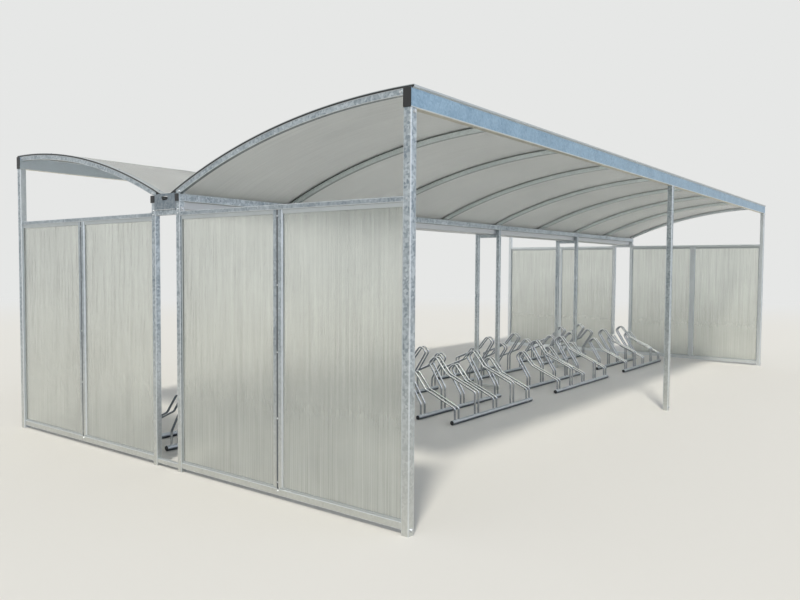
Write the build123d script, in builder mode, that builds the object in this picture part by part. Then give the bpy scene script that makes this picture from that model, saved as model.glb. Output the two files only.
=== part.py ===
from build123d import *
import os
from math import asin, cos, sin

# Double-sided bike shelter with a butterfly roof: two arched halves, high along
# the open long edges and low at a central gutter, on hot-dip galvanised tube,
# with fluted sheet on the roof and in the end walls, and eight bike racks.
# Frame: X along the shelter, Y across it (front half at -Y), Z up, origin on
# the ground in the middle of the plan. All sizes in millimetres.

os.makedirs("parts", exist_ok=True)

# Plan
BAY = 1050.0                      # roof bay, rafter to rafter
BAYS = 8
OUTER_Y = 2005.0                  # centre of the outer posts
INNER_Y = 135.0                   # centre of the inner posts
SPAN = OUTER_Y - INNER_Y          # outer post centre to inner post centre
LENGTH = BAY * BAYS               # end wall to end wall, centre to centre

# Tube sections
OUTER_POST = 50.0
INNER_POST = 40.0
OUTER_BEAM_W, OUTER_BEAM_H = 50.0, 100.0
INNER_BEAM_W, INNER_BEAM_H = 40.0, 50.0
RAFTER_W, RAFTER_H = 30.0, 35.0
RAIL_W, RAIL_D = 30.0, 40.0       # gable rails and mullions; the bottom rail is on edge
CAP_T = 4.0                       # plastic end caps
FRAME_LENGTH = LENGTH + OUTER_POST   # beams end flush with the outer posts

# Rounds are drawn with eight sides across the real diameter, one of them level
ROUND_SIDES = 8
ROUND_FIT = {"major_radius": False, "rotation": 180.0 / ROUND_SIDES}

# Heights
OUTER_BEAM_Z = 2160.0             # underside of the outer beams
INNER_BEAM_Z = 1790.0             # underside of the inner beams
OUTER_TOP = OUTER_BEAM_Z + OUTER_BEAM_H
INNER_TOP = INNER_BEAM_Z + INNER_BEAM_H
GABLE_TOP_RAIL_Z = 1695.0
GABLE_BOTTOM_RAIL_Z = 25.0

# Roof arch, in the plane across the shelter: a level flat on the outer beam,
# then equal flats along a circle whose highest point is over the outer posts.
ROOF_R = 4720.0
ROOF_FLATS = 8
BEAM_FLAT = 80.0
FLAT_ANGLE = asin(BEAM_FLAT / 2 / ROOF_R)
EAVES_U = 1965.0                  # just past the sheets' lower edge
EAVES_ANGLE = asin(EAVES_U / ROOF_R)
ROOF_CENTRE_Z = OUTER_TOP - ROOF_R * cos(FLAT_ANGLE)
SKY = 3000.0                      # above everything
SHEET_T = 10.0
SHEET_GAP = 4.0                   # expansion gap between sheets over a rafter
SHEET_OUT = 33.0                  # past the outer post centre
SHEET_IN = 1950.0                 # lower edge, over the gutter
RAFTER_OUT = OUTER_BEAM_W / 2     # butts on the inner face of the outer beam
RAFTER_IN = 1895.0
STRIP_W, STRIP_END_W, STRIP_T = 60.0, 45.0, 3.0
TRIM_T = 2.0                      # edge profile of the sheets
TRIM_GAP = 1.0                    # from its lip to the beam
BRACKET_L, BRACKET_W, BRACKET_H, BRACKET_T = 34.0, 30.0, 22.0, 3.0
BRACKET_U = 1870.0                # middle of the inner beam

# Gutter
GUTTER_W = 2 * INNER_Y - INNER_BEAM_W
GUTTER_Z = 1740.0
GUTTER_T = 2.0
GUTTER_H = 98.0
PLATE_T = 2.0
PLATE_H = 106.0
SLOT_W, SLOT_H, SLOT_Z = 70.0, 26.0, 1816.0

# Ties between the two inner posts of a pair
TIE_W, TIE_TOP_H, TIE_FOOT_H = 30.0, 35.0, 30.0
TIE_FOOT_Z = 20.0

# Racks
FIRST_RACK = -3205.0              # middle of the rack nearest the left end
RACK_PITCH = 2060.0
RACKS = 4
RACK_CENTRES = [FIRST_RACK + RACK_PITCH * n for n in range(RACKS)]
RACK_LENGTH = 1480.0
RACK_RAIL_D = 42.0
FRONT_RAIL = 1240.0               # from the outer post line
RAIL_SPACING = 365.0
PLUG_D, PLUG_T = 40.0, 4.0
HOLDER_PITCH = 333.0
HOLDERS = 5
ROD_D = 18.0
ROD_SIDES = 6
ROD_SPACING = 60.0                # the two rods of one holder
HIGH_STEP = 100.0                 # high holders over low ones

# Side view of a low holder: distance from the front rail and height
LEG_TOP = (0.0, 140.0)
KINK = (312.0, 277.0)
CREST = [(426.0, 419.0), (457.0, 421.0), (499.0, 383.0), (503.0, 358.0)]
REAR_BEND = (RAIL_SPACING, 142.0)

SIDES = {"front": -1, "rear": 1}
ENDS = {"left": -1, "right": 1}
RAFTER_XS = [BAY * (n - BAYS / 2) for n in range(BAYS + 1)]


def across(side, u):
    """Y of a point u inwards from the outer post line on one side."""
    return side * (OUTER_Y - u)


def arch(side, offset):
    """Corners of the roof arch, offset outwards from the sheets' underside."""
    step = (EAVES_ANGLE - FLAT_ANGLE) / ROOF_FLATS
    angles = [-FLAT_ANGLE] + [FLAT_ANGLE + n * step for n in range(ROOF_FLATS + 1)]
    radius = ROOF_R + offset
    return [(across(side, radius * sin(a)), ROOF_CENTRE_Z + radius * cos(a)) for a in angles]


def roof_band(side, low, high):
    """Closed outline between two offsets of the arch."""
    Polyline(*arch(side, low), *reversed(arch(side, high)), close=True)


def cut_ends(side, u_out, u_in, rest_z=0.0):
    """Cuts a band upright at both ends, and level where it rests."""
    with Locations((across(side, (u_out + u_in) / 2), rest_z)):
        Rectangle(u_in - u_out, SKY, align=(Align.CENTER, Align.MIN), mode=Mode.INTERSECT)


def write(part, name):
    part.label = name
    export_step(part, f"parts/{name}.step")


OUTER_POST_XS = [-LENGTH / 2, 0.0, LENGTH / 2]
INNER_POST_XS = [LENGTH * (n - 2) / 4 for n in range(5)]
ON_GROUND = (Align.CENTER, Align.CENTER, Align.MIN)

# Posts and beams of each half
for name, side in SIDES.items():
    with BuildPart() as outer_posts:
        with Locations(*[(x, side * OUTER_Y, 0) for x in OUTER_POST_XS]):
            Box(OUTER_POST, OUTER_POST, OUTER_BEAM_Z, align=ON_GROUND)
    write(outer_posts.part, f"outer_posts_{name}")

    with BuildPart() as inner_posts:
        with Locations(*[(x, side * INNER_Y, 0) for x in INNER_POST_XS]):
            Box(INNER_POST, INNER_POST, INNER_BEAM_Z, align=ON_GROUND)
    write(inner_posts.part, f"inner_posts_{name}")

    with BuildPart() as outer_beam:
        with Locations((0, side * OUTER_Y, OUTER_BEAM_Z)):
            Box(FRAME_LENGTH, OUTER_BEAM_W, OUTER_BEAM_H, align=ON_GROUND)
    write(outer_beam.part, f"outer_beam_{name}")

    with BuildPart() as inner_beam:
        with Locations((0, side * INNER_Y, INNER_BEAM_Z)):
            Box(FRAME_LENGTH, INNER_BEAM_W, INNER_BEAM_H, align=ON_GROUND)
    write(inner_beam.part, f"inner_beam_{name}")

# Plastic caps closing the ends of the four beams
CAP_X = FRAME_LENGTH / 2 + CAP_T / 2
with BuildPart() as end_caps:
    with Locations(*[(e * CAP_X, s * OUTER_Y, OUTER_BEAM_Z) for e in (-1, 1) for s in (-1, 1)]):
        Box(CAP_T, OUTER_BEAM_W, OUTER_BEAM_H, align=ON_GROUND)
    with Locations(*[(e * CAP_X, s * INNER_Y, INNER_BEAM_Z) for e in (-1, 1) for s in (-1, 1)]):
        Box(CAP_T, INNER_BEAM_W, INNER_BEAM_H, align=ON_GROUND)
write(end_caps.part, "beam_end_caps")

# Ties that join the inner posts in pairs, under the gutter and at the foot
TIE_LENGTH = 2 * INNER_Y - INNER_POST
with BuildPart() as ties:
    with Locations(*[(x, 0, GUTTER_Z - TIE_TOP_H) for x in INNER_POST_XS]):
        Box(TIE_W, TIE_LENGTH, TIE_TOP_H, align=ON_GROUND)
    with Locations(*[(x, 0, TIE_FOOT_Z) for x in INNER_POST_XS]):
        Box(TIE_W, TIE_LENGTH, TIE_FOOT_H, align=ON_GROUND)
write(ties.part, "post_pair_ties")

# Gutter trough between the inner beams, lying on the upper ties
with BuildPart() as gutter:
    with BuildSketch(Plane.YZ) as trough_section:
        with Locations((0, GUTTER_Z)):
            Rectangle(GUTTER_W, GUTTER_H, align=(Align.CENTER, Align.MIN))
        with Locations((0, GUTTER_Z + GUTTER_T)):
            Rectangle(
                GUTTER_W - 2 * GUTTER_T,
                GUTTER_H,
                align=(Align.CENTER, Align.MIN),
                mode=Mode.SUBTRACT,
            )
    extrude(amount=FRAME_LENGTH / 2 - PLATE_T, both=True)
write(gutter.part, "gutter")

# End plates of the gutter, each with an overflow slot
with BuildPart() as gutter_plates:
    for end in (-1, 1):
        plate_x = end * (FRAME_LENGTH / 2 - PLATE_T / 2)
        with BuildSketch(Plane.YZ.offset(plate_x)) as plate:
            with Locations((0, GUTTER_Z)):
                Rectangle(GUTTER_W, PLATE_H, align=(Align.CENTER, Align.MIN))
            with Locations((0, SLOT_Z)):
                Rectangle(SLOT_W - SLOT_H, SLOT_H, mode=Mode.SUBTRACT)
            with Locations(*[(side * (SLOT_W - SLOT_H) / 2, SLOT_Z) for side in (-1, 1)]):
                RegularPolygon(SLOT_H / 2, ROUND_SIDES, **ROUND_FIT, mode=Mode.SUBTRACT)
        extrude(amount=PLATE_T / 2, both=True)
write(gutter_plates.part, "gutter_end_plates")

# Arched roof of each half: rafters, sheets, cover strips
for name, side in SIDES.items():
    with BuildPart() as rafters:
        for x in RAFTER_XS:
            with BuildSketch(Plane.YZ.offset(x)) as rafter_side:
                with BuildLine():
                    roof_band(side, -RAFTER_H, 0)
                make_face()
                cut_ends(side, RAFTER_OUT, RAFTER_IN, rest_z=INNER_TOP)
            extrude(amount=RAFTER_W / 2, both=True)
    write(rafters.part, f"rafters_{name}")

    with BuildPart() as sheets:
        for x, next_x in zip(RAFTER_XS, RAFTER_XS[1:]):
            low_x = x - RAFTER_W / 2 if x == RAFTER_XS[0] else x + SHEET_GAP / 2
            high_x = next_x + RAFTER_W / 2 if next_x == RAFTER_XS[-1] else next_x - SHEET_GAP / 2
            with BuildSketch(Plane.YZ.offset(low_x)) as sheet_side:
                with BuildLine():
                    roof_band(side, 0, SHEET_T)
                make_face()
                cut_ends(side, -SHEET_OUT, SHEET_IN)
            extrude(amount=high_x - low_x)
    write(sheets.part, f"roof_sheets_{name}")

    with BuildPart() as strips:
        for x in RAFTER_XS:
            at_end = abs(x) == LENGTH / 2
            width = STRIP_END_W if at_end else STRIP_W
            outside = (x > 0) - (x < 0)
            centre = x + outside * (RAFTER_W - STRIP_END_W) / 2 if at_end else x
            with BuildSketch(Plane.YZ.offset(centre)) as strip_side:
                with BuildLine():
                    roof_band(side, SHEET_T, SHEET_T + STRIP_T)
                make_face()
                cut_ends(side, -SHEET_OUT, SHEET_IN)
            extrude(amount=width / 2, both=True)
    write(strips.part, f"cover_strips_{name}")

# Angle brackets that hold the rafter feet on the inner beams
with BuildPart() as brackets:
    for side in SIDES.values():
        for x in RAFTER_XS:
            inwards = 1 if x < 0 else -1
            with BuildSketch(Plane.XZ.offset(-across(side, BRACKET_U))) as angle_section:
                with BuildLine():
                    Polyline(
                        (x + inwards * RAFTER_W / 2, INNER_TOP),
                        (x + inwards * (RAFTER_W / 2 + BRACKET_W), INNER_TOP),
                        (x + inwards * (RAFTER_W / 2 + BRACKET_W), INNER_TOP + BRACKET_T),
                        (x + inwards * (RAFTER_W / 2 + BRACKET_T), INNER_TOP + BRACKET_T),
                        (x + inwards * (RAFTER_W / 2 + BRACKET_T), INNER_TOP + BRACKET_H),
                        (x + inwards * RAFTER_W / 2, INNER_TOP + BRACKET_H),
                        close=True,
                    )
                make_face()
            extrude(amount=BRACKET_L / 2, both=True)
write(brackets.part, "rafter_brackets")

# Profiles that close the flutes along the outer edge of the sheets
with BuildPart() as edge_trims:
    for side in SIDES.values():
        lip_y = across(side, -OUTER_BEAM_W / 2 - TRIM_GAP)
        with BuildSketch(Plane.YZ) as trim_section:
            with BuildLine():
                Polyline(
                    (across(side, -SHEET_OUT), OUTER_TOP),
                    (across(side, -SHEET_OUT), OUTER_TOP + SHEET_T),
                    (across(side, -SHEET_OUT - TRIM_T), OUTER_TOP + SHEET_T),
                    (across(side, -SHEET_OUT - TRIM_T), OUTER_TOP - TRIM_T),
                    (lip_y, OUTER_TOP - TRIM_T),
                    (lip_y, OUTER_TOP),
                    close=True,
                )
            make_face()
        extrude(amount=LENGTH / 2 + RAFTER_W / 2, both=True)
write(edge_trims.part, "roof_edge_trims")

# End walls: top rail, bottom rail and mullion, with two sheets in each half
FRAME_OUT = OUTER_POST / 2
FRAME_IN = SPAN - INNER_POST / 2
FRAME_MID = (FRAME_OUT + FRAME_IN) / 2
PANEL_Z = GABLE_BOTTOM_RAIL_Z + RAIL_D
PANEL_H = GABLE_TOP_RAIL_Z - PANEL_Z
PANEL_W = (FRAME_IN - FRAME_OUT - RAIL_W) / 2
for end_name, end in ENDS.items():
    wall_x = end * LENGTH / 2
    for name, side in SIDES.items():
        with BuildPart() as gable_frame:
            rail_y = across(side, FRAME_MID)
            with Locations((wall_x, rail_y, GABLE_TOP_RAIL_Z)):
                Box(RAIL_D, FRAME_IN - FRAME_OUT, RAIL_W, align=ON_GROUND)
            with Locations((wall_x, rail_y, GABLE_BOTTOM_RAIL_Z)):
                Box(RAIL_W, FRAME_IN - FRAME_OUT, RAIL_D, align=ON_GROUND)
            with Locations((wall_x, rail_y, PANEL_Z)):
                Box(RAIL_W, RAIL_W, PANEL_H, align=ON_GROUND)
        write(gable_frame.part, f"gable_frame_{end_name}_{name}")

        with BuildPart() as gable_panels:
            centres = (FRAME_OUT + PANEL_W / 2, FRAME_IN - PANEL_W / 2)
            with Locations(*[(wall_x, across(side, u), PANEL_Z) for u in centres]):
                Box(SHEET_T, PANEL_W, PANEL_H, align=ON_GROUND)
        write(gable_panels.part, f"gable_panels_{end_name}_{name}")


def rod_path(side, lift):
    """Corners of one bent rod, from the top of the front rail to that of the rear one."""
    corners = [(u, z + lift) for u, z in [LEG_TOP, KINK, *CREST, REAR_BEND]]
    feet = (0.0, RACK_RAIL_D), (RAIL_SPACING, RACK_RAIL_D)
    return [(across(side, FRONT_RAIL + u), z) for u, z in [feet[0], *corners, feet[1]]]


# One low and one high rod for each half, at X = 0: a six-sided bar mitred at its bends
rods = {}
for name, side in SIDES.items():
    for lift in (0.0, HIGH_STEP):
        with BuildPart() as rod:
            with BuildLine(Plane.YZ) as bend:
                Polyline(*rod_path(side, lift))
            with BuildSketch(Plane(bend.line @ 0, x_dir=(1, 0, 0), z_dir=(0, 0, 1))):
                RegularPolygon(ROD_D / 2, ROD_SIDES)
            sweep(transition=Transition.RIGHT)
        rods[name, lift] = rod.part

# Racks: two ground rails with a flat on top, and five wheel holders, low and high in turn
for name, side in SIDES.items():
    rail_ys = (across(side, FRONT_RAIL), across(side, FRONT_RAIL + RAIL_SPACING))
    for number, rack_x in enumerate(RACK_CENTRES, start=1):
        with BuildPart() as rails:
            with BuildSketch(Plane.YZ.offset(rack_x)) as rail_section:
                with Locations(*[(y, RACK_RAIL_D / 2) for y in rail_ys]):
                    RegularPolygon(RACK_RAIL_D / 2, ROUND_SIDES, **ROUND_FIT)
            extrude(amount=RACK_LENGTH / 2, both=True)
        write(rails.part, f"rack_{name}_{number}_rails")

        with BuildPart() as holders:
            for n in range(HOLDERS):
                holder_x = rack_x + HOLDER_PITCH * (n - (HOLDERS - 1) / 2)
                with Locations(*[(holder_x + s * ROD_SPACING / 2, 0, 0) for s in (-1, 1)]):
                    add(rods[name, HIGH_STEP * (n % 2)])
        write(holders.part, f"rack_{name}_{number}_holders")

# Plastic plugs in the ends of the ground rails
with BuildPart() as plugs:
    for end in (-1, 1):
        for rack_x in RACK_CENTRES:
            with BuildSketch(Plane.YZ.offset(rack_x + end * (RACK_LENGTH + PLUG_T) / 2)):
                for side in SIDES.values():
                    for u in (FRONT_RAIL, FRONT_RAIL + RAIL_SPACING):
                        with Locations((across(side, u), RACK_RAIL_D / 2)):
                            RegularPolygon(PLUG_D / 2, ROUND_SIDES, **ROUND_FIT)
            extrude(amount=PLUG_T / 2, both=True)
write(plugs.part, "rack_rail_plugs")
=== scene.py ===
"""Looks of a double-sided bike shelter with a butterfly roof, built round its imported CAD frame.

Metres, in the frame's own axes: X along the shelter, Y across it, Z up from the ground.
"""

import math

import bmesh
import bpy
from mathutils import Matrix, Vector


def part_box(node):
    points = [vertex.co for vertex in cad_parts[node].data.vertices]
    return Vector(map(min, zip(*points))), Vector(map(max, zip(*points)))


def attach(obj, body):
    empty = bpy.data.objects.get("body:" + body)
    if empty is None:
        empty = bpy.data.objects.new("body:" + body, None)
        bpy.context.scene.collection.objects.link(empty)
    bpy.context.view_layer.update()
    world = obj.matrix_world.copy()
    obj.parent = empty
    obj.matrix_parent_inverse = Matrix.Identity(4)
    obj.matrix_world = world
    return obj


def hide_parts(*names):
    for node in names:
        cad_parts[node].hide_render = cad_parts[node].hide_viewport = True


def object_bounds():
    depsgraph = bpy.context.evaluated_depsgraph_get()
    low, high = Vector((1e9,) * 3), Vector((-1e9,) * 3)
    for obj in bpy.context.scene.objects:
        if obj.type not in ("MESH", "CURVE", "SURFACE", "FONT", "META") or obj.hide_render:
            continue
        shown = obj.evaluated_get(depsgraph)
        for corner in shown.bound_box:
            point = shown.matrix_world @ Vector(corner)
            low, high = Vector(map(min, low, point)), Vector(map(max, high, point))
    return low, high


bl_info = {
    "name": "Bike shelter",
    "version": (1, 0, 0),
    "blender": (4, 5, 0),
    "location": "View3D > Sidebar > Shelter",
    "description": "Dresses the frame of an arched, double-sided bike shelter",
    "category": "Object",
}

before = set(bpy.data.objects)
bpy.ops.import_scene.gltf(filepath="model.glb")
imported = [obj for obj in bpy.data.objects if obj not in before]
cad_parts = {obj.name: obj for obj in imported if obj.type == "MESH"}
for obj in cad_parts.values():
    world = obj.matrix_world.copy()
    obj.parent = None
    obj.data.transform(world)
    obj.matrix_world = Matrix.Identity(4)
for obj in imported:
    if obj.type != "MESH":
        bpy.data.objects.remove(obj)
CAD_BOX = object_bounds()
BODY = "root"
MM = 0.001
ALONG_X, ALONG_Y = (1, 0, 0), (0, 1, 0)

# Plan of the shelter, read from the frame
SIDES = {"front": -1, "rear": 1}
ENDS = {"left": -1, "right": 1}
BAYS = 8
BEAM_LOW, BEAM_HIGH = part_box("outer_beam_front")
INNER_LOW, INNER_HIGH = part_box("inner_beam_front")
GUTTER_LOW, GUTTER_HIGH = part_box("gutter")
PLATE_LOW, PLATE_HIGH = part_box("gutter_end_plates")
TIES_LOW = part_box("post_pair_ties")[0]
WALL_LOW, WALL_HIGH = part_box("gable_frame_left_rear")
OUTER_Y = -(BEAM_LOW.y + BEAM_HIGH.y) / 2
INNER_Y = -(INNER_LOW.y + INNER_HIGH.y) / 2
BEAM_END = BEAM_HIGH.x
POST_SIZE = BEAM_HIGH.y - BEAM_LOW.y
INNER_SIZE = INNER_HIGH.y - INNER_LOW.y
LENGTH = 2 * BEAM_END - POST_SIZE
BAY = LENGTH / BAYS
RAFTER_XS = [BAY * (n - BAYS / 2) for n in range(BAYS + 1)]
OUTER_POST_XS = [-LENGTH / 2, 0.0, LENGTH / 2]
INNER_POST_XS = [LENGTH * (n - 2) / 4 for n in range(5)]

# Ties between the inner posts, under the gutter and at the foot
TIE_W = 30 * MM
GUTTER_TIE_H = 35 * MM
FOOT_TIE_H = 30 * MM
GUTTER_TIE_Z = GUTTER_LOW.z - GUTTER_TIE_H / 2

# Roof arch: a level flat on the outer beam, then a circle. Offsets start at the sheets' underside
ROOF_R = 4.720
FLAT_HALF = 0.040
ROOF_CENTRE_Z = BEAM_HIGH.z - ROOF_R * math.cos(math.asin(FLAT_HALF / ROOF_R))
ARCH_STEPS = 40
RAFTER_W, RAFTER_H = 30 * MM, 35 * MM
RAFTER_HALF = RAFTER_W / 2
# Outer and inner ends, measured inwards from the outer post line
RAFTER_OUT, RAFTER_IN = 25 * MM, 1895 * MM
SHEET_OUT, SHEET_IN = -33 * MM, 1950 * MM
FOOT_U = 1.870  # middle of the brackets at the rafter feet
LAST_SCREW = SHEET_IN - 0.050
SHEET_T = 10 * MM
SHEET_GAP = 4 * MM
STRIP_W, STRIP_END_W = 60 * MM, 45 * MM

# End walls
MULLION_HALF = 15 * MM
TOP_RAIL_D, BOTTOM_RAIL_D = 40 * MM, 30 * MM
SCREW_HEIGHTS = [0.105, 0.480, 0.870, 1.260, 1.660]

# Gutter
GUTTER_T = 2 * MM
SLOT_W, SLOT_H, SLOT_Z = 70 * MM, 26 * MM, 1.816

# Racks. The front rail is measured inwards from the outer post line
RACK_CENTRES = [-3.205 + 2.060 * n for n in range(4)]
RACK_LENGTH = 1.480
RAIL_R = 21 * MM
FRONT_RAIL = 1.240
RAIL_SPACING = 0.365
ROD_R = 9 * MM
ROD_SPACING = 60 * MM
HOLDERS = 5
HOLDER_PITCH = 0.333
HIGH_STEP = 0.100

# Bends of one low rod: distance from the front rail, height, bend radius
ROD_BENDS = [
    (0.000, 0.140, 0.025),
    (0.312, 0.277, 0.045),
    (0.440, 0.436, 0.035),
    (0.512, 0.372, 0.035),
    (0.365, 0.142, 0.045),
]

# Bolts and screws, in mm: head across its flats, head height, washer, washer thickness
POST_BOLT = (17, 7, 21, 2)
SMALL_BOLT = (13, 5.5, 17, 2)
WALL_BOLT = (8, 3, 13, 2)
CORNER_SCREW = (7, 1.5, 9, 2)
MULLION_SCREW = (7, 2, 11, 1.2)
STRIP_SCREW = (8, 4, 15, 1.5)
FLAT_STRIP_SCREW = (8, 0.6, 15, 0.7)


def size_property(name, description, default, low, high):
    """Length setting, given in millimetres."""
    return bpy.props.FloatProperty(
        name=name, description=description, default=default * MM, min=low * MM, max=high * MM,
        unit="LENGTH", subtype="DISTANCE",
    )


class ShelterSizes(bpy.types.PropertyGroup):
    """Sizes that the frame doesn't hold."""

    post_corner: size_property("Post corner", "Corner radius of the outer posts and beams", 6, 1, 12)
    tube_corner: size_property(
        "Tube corner", "Corner radius of the inner posts, inner beams and wall rails", 4, 1, 8
    )
    bead_width: size_property(
        "Glazing bead", "Width of the beads under the top rails and of the mullion covers", 24, 10, 40
    )
    narrow_bead: size_property(
        "Narrow bead", "Width of the beads beside the posts and on the bottom rails", 12, 6, 40
    )
    mullion_groove: size_property(
        "Mullion groove", "Width of the sealed groove between the covers of a mullion", 13, 4, 20
    )
    bead_depth: size_property("Bead depth", "Depth of the beads on each side of a sheet", 6, 4, 10)
    gasket: size_property("Gasket", "Width of rubber that shows beside a rafter", 1, 1, 8)
    flute_pitch: size_property("Flute pitch", "Distance between the ribs drawn in the sheets", 16, 4, 30)
    spangle: size_property("Zinc spangle", "Width of one zinc crystal", 13, 3, 40)
    screw_pitch: size_property(
        "Screw pitch", "Distance between the screws of a cover strip", 475, 100, 1000
    )


def linear(colour):
    """Linear colour of an sRGB hex value such as "8090A0"."""
    parts = [int(colour[i : i + 2], 16) / 255 for i in (0, 2, 4)]
    return [c / 12.92 if c <= 0.04045 else ((c + 0.055) / 1.055) ** 2.4 for c in parts]


def colour_property(name, description, default):
    """Colour setting whose default is an sRGB hex value."""
    return bpy.props.FloatVectorProperty(
        name=name, description=description, default=linear(default),
        min=0.0, max=1.0, size=3, subtype="COLOR",
    )


class ShelterColours(bpy.types.PropertyGroup):
    """Colours of the finishes and of the studio."""

    zinc_bright: colour_property("Bright zinc", "Bright crystals on posts, rails and mullions", "CCD4D9")
    zinc_dull: colour_property("Dull zinc", "Dull crystals on posts, ties and inner beams", "838F98")
    rail_dull: colour_property("Dull rail", "Dull crystals on end walls and gutter plates", "6F7B85")
    # The blue of the outer beams' zinc is a painted reflection of the sky
    beam_bright_painted_sky: colour_property("Bright beam", "Bright crystals on the outer beams", "ABC6D9")
    beam_dull_painted_sky: colour_property("Dull beam", "Dull crystals on the outer beams", "809BB1")
    # The rafters' zinc is paler than the posts': painted light for their faces in the shade of the roof
    rafter_bright_painted_light: colour_property("Bright rafter", "Bright crystals on the rafters", "F0F6F6")
    rafter_dull_painted_light: colour_property("Dull rafter", "Dull crystals on the rafters", "D2DBDB")
    sheet_zinc: colour_property("Sheet zinc", "Galvanised sheet of gutter, plates and brackets", "9AA3AA")
    rail_zinc: colour_property("Rack rail zinc", "Zinc of the rack rails", "CDD3D8")
    rod_zinc: colour_property("Rod zinc", "Bright zinc of the wheel holders", "F6F8FA")
    aluminium: colour_property("Aluminium", "Mill-finish strips, edge profiles and beads", "C3C9CB")
    roof_tint: colour_property("Roof sheet", "Fluted sheet of the roof", "E7E9E6")
    wall_tint: colour_property("Wall sheet", "Fluted sheet of the end walls", "DFE2DC")
    silt: colour_property("Silt", "Film of dried silt in the gutter", "34332E")
    plastic: colour_property("Plastic", "Moulded caps and plugs", "1B1C1E")
    rubber: colour_property("Rubber", "Gaskets of the rafters and roof ends", "232426")
    seal: colour_property("Seal", "Sunlit seals of the end walls", "45494C")
    backdrop: colour_property("Backdrop", "Background and far floor", "E6E7E6")
    floor: colour_property("Floor", "Studio floor", "DCDAD4")


# Outlines


def rounded(width, height, radius):
    """Outline of a rectangle with rounded corners, about its centre."""
    steps = 3
    points = []
    for corner, (cx, cy) in enumerate([(1, 1), (-1, 1), (-1, -1), (1, -1)]):
        for n in range(steps + 1):
            turn = math.pi / 2 * (corner + n / steps)
            x = cx * (width / 2 - radius) + radius * math.cos(turn)
            y = cy * (height / 2 - radius) + radius * math.sin(turn)
            points.append((x, y))
    return points


def circle(radius, sides):
    """Outline of a circle about its centre."""
    turns = [2 * math.pi * n / sides for n in range(sides)]
    return [(radius * math.cos(t), radius * math.sin(t)) for t in turns]


def in_mm(*points):
    """Outline whose points are given in millimetres."""
    return [(a * MM, b * MM) for a, b in points]


def mirrored(half):
    """Closed outline of a half outline and its mirror image across the second axis."""
    return [*half, *[(-a, b) for a, b in reversed(half)]]


# Places


def across(side, u):
    """Y of a point u inwards from the outer post line."""
    return side * (OUTER_Y - u)


def arch_z(u, offset):
    """Height of the roof arch at u inwards of the outer posts, offset outwards from its line."""
    radius = ROOF_R + offset
    flat = radius * FLAT_HALF / ROOF_R
    return ROOF_CENTRE_Z + math.sqrt(radius**2 - max(abs(u), flat) ** 2)


def towards_middle(x):
    """Direction along the shelter from x to its middle, where a bracket stands beside its rafter."""
    return 1 if x < 0 else -1


# Meshes


def loft(mesh, rings, looped=False):
    """Skins a row of equal closed rings, capped at both ends or joined end to end."""
    rows = [[mesh.verts.new(point) for point in ring] for ring in rings]
    following = rows[1:] + rows[:1] if looped else rows[1:]
    for row, after in zip(rows, following):
        for i in range(len(row)):
            j = (i + 1) % len(row)
            mesh.faces.new((row[i], row[j], after[j], after[i]))
    if not looped:
        mesh.faces.new(list(reversed(rows[0])))
        mesh.faces.new(rows[-1])


def bar(mesh, outline, start, end, side, bevel=0.0):
    """Straight bar: the outline's first axis is side, its second is square to side and length."""
    start, end, side = Vector(start), Vector(end), Vector(side)
    along = (end - start).normalized()
    up = along.cross(side)
    stations = [(start, 1.0), (end, 1.0)]
    if bevel:
        small = 1 - bevel / max(abs(c) for point in outline for c in point)
        stations = [
            (start, small), (start + along * bevel, 1.0), (end - along * bevel, 1.0), (end, small),
        ]
    loft(mesh, [[at + side * a * s + up * b * s for a, b in outline] for at, s in stations])


def washer_and_head(mesh, at, outward, kind):
    """Hexagon head of one of the kinds of bolt on its washer, standing outward from a face."""
    at, outward = Vector(at), Vector(outward).normalized()
    side = outward.orthogonal().normalized()
    up = outward.cross(side)
    flats, height, washer, thick = (size * MM for size in kind)
    # Heights over the face, each with the share of the full width there
    rim = [(0, 1.0), (thick * 0.7, 1.0), (thick, 0.93)]
    head = [(thick, 1.0), (thick + height * 0.82, 1.0), (thick + height, 0.86)]
    for outline, levels in ((circle(washer / 2, 20), rim), (circle(flats / math.sqrt(3), 6), head)):
        rings = []
        for level, scale in levels:
            rings.append([at + outward * level + (side * a + up * b) * scale for a, b in outline])
        loft(mesh, rings)


def arched(mesh, side, x, outline, u_out, u_in, lowest=0.0):
    """Bar along the roof arch. The outline holds (along X, outwards from the arch's line)."""
    # Even steps, with the inner end of the level flat among them
    steps = [FLAT_HALF + (u_in - FLAT_HALF) * n / ARCH_STEPS for n in range(ARCH_STEPS + 1)]
    rings = []
    for u in (u_out, *steps):
        rings.append([(x + a, across(side, u), max(lowest, arch_z(u, b))) for a, b in outline])
    loft(mesh, rings)


def box_between(mesh, one, other):
    """Plain rectangular solid between two opposite corners."""
    xs, ys, zs = (sorted(pair) for pair in zip(one, other))
    ring = [(xs[0], ys[0]), (xs[1], ys[0]), (xs[1], ys[1]), (xs[0], ys[1])]
    loft(mesh, [[(x, y, z) for x, y in ring] for z in zs])


def frame_loop(mesh, corners, outline, outward, widths):
    """Mitred frame round four corners: the outline holds (share of a side's width, outwards)."""
    outward = Vector(outward)
    corners = [Vector(c) for c in corners]
    rings = []
    for n, corner in enumerate(corners):
        back = (corners[n - 1] - corner).normalized() * widths[n]
        on = (corners[(n + 1) % 4] - corner).normalized() * widths[n - 1]
        rings.append([corner + (back + on) * a + outward * b for a, b in outline])
    loft(mesh, rings, looped=True)


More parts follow.
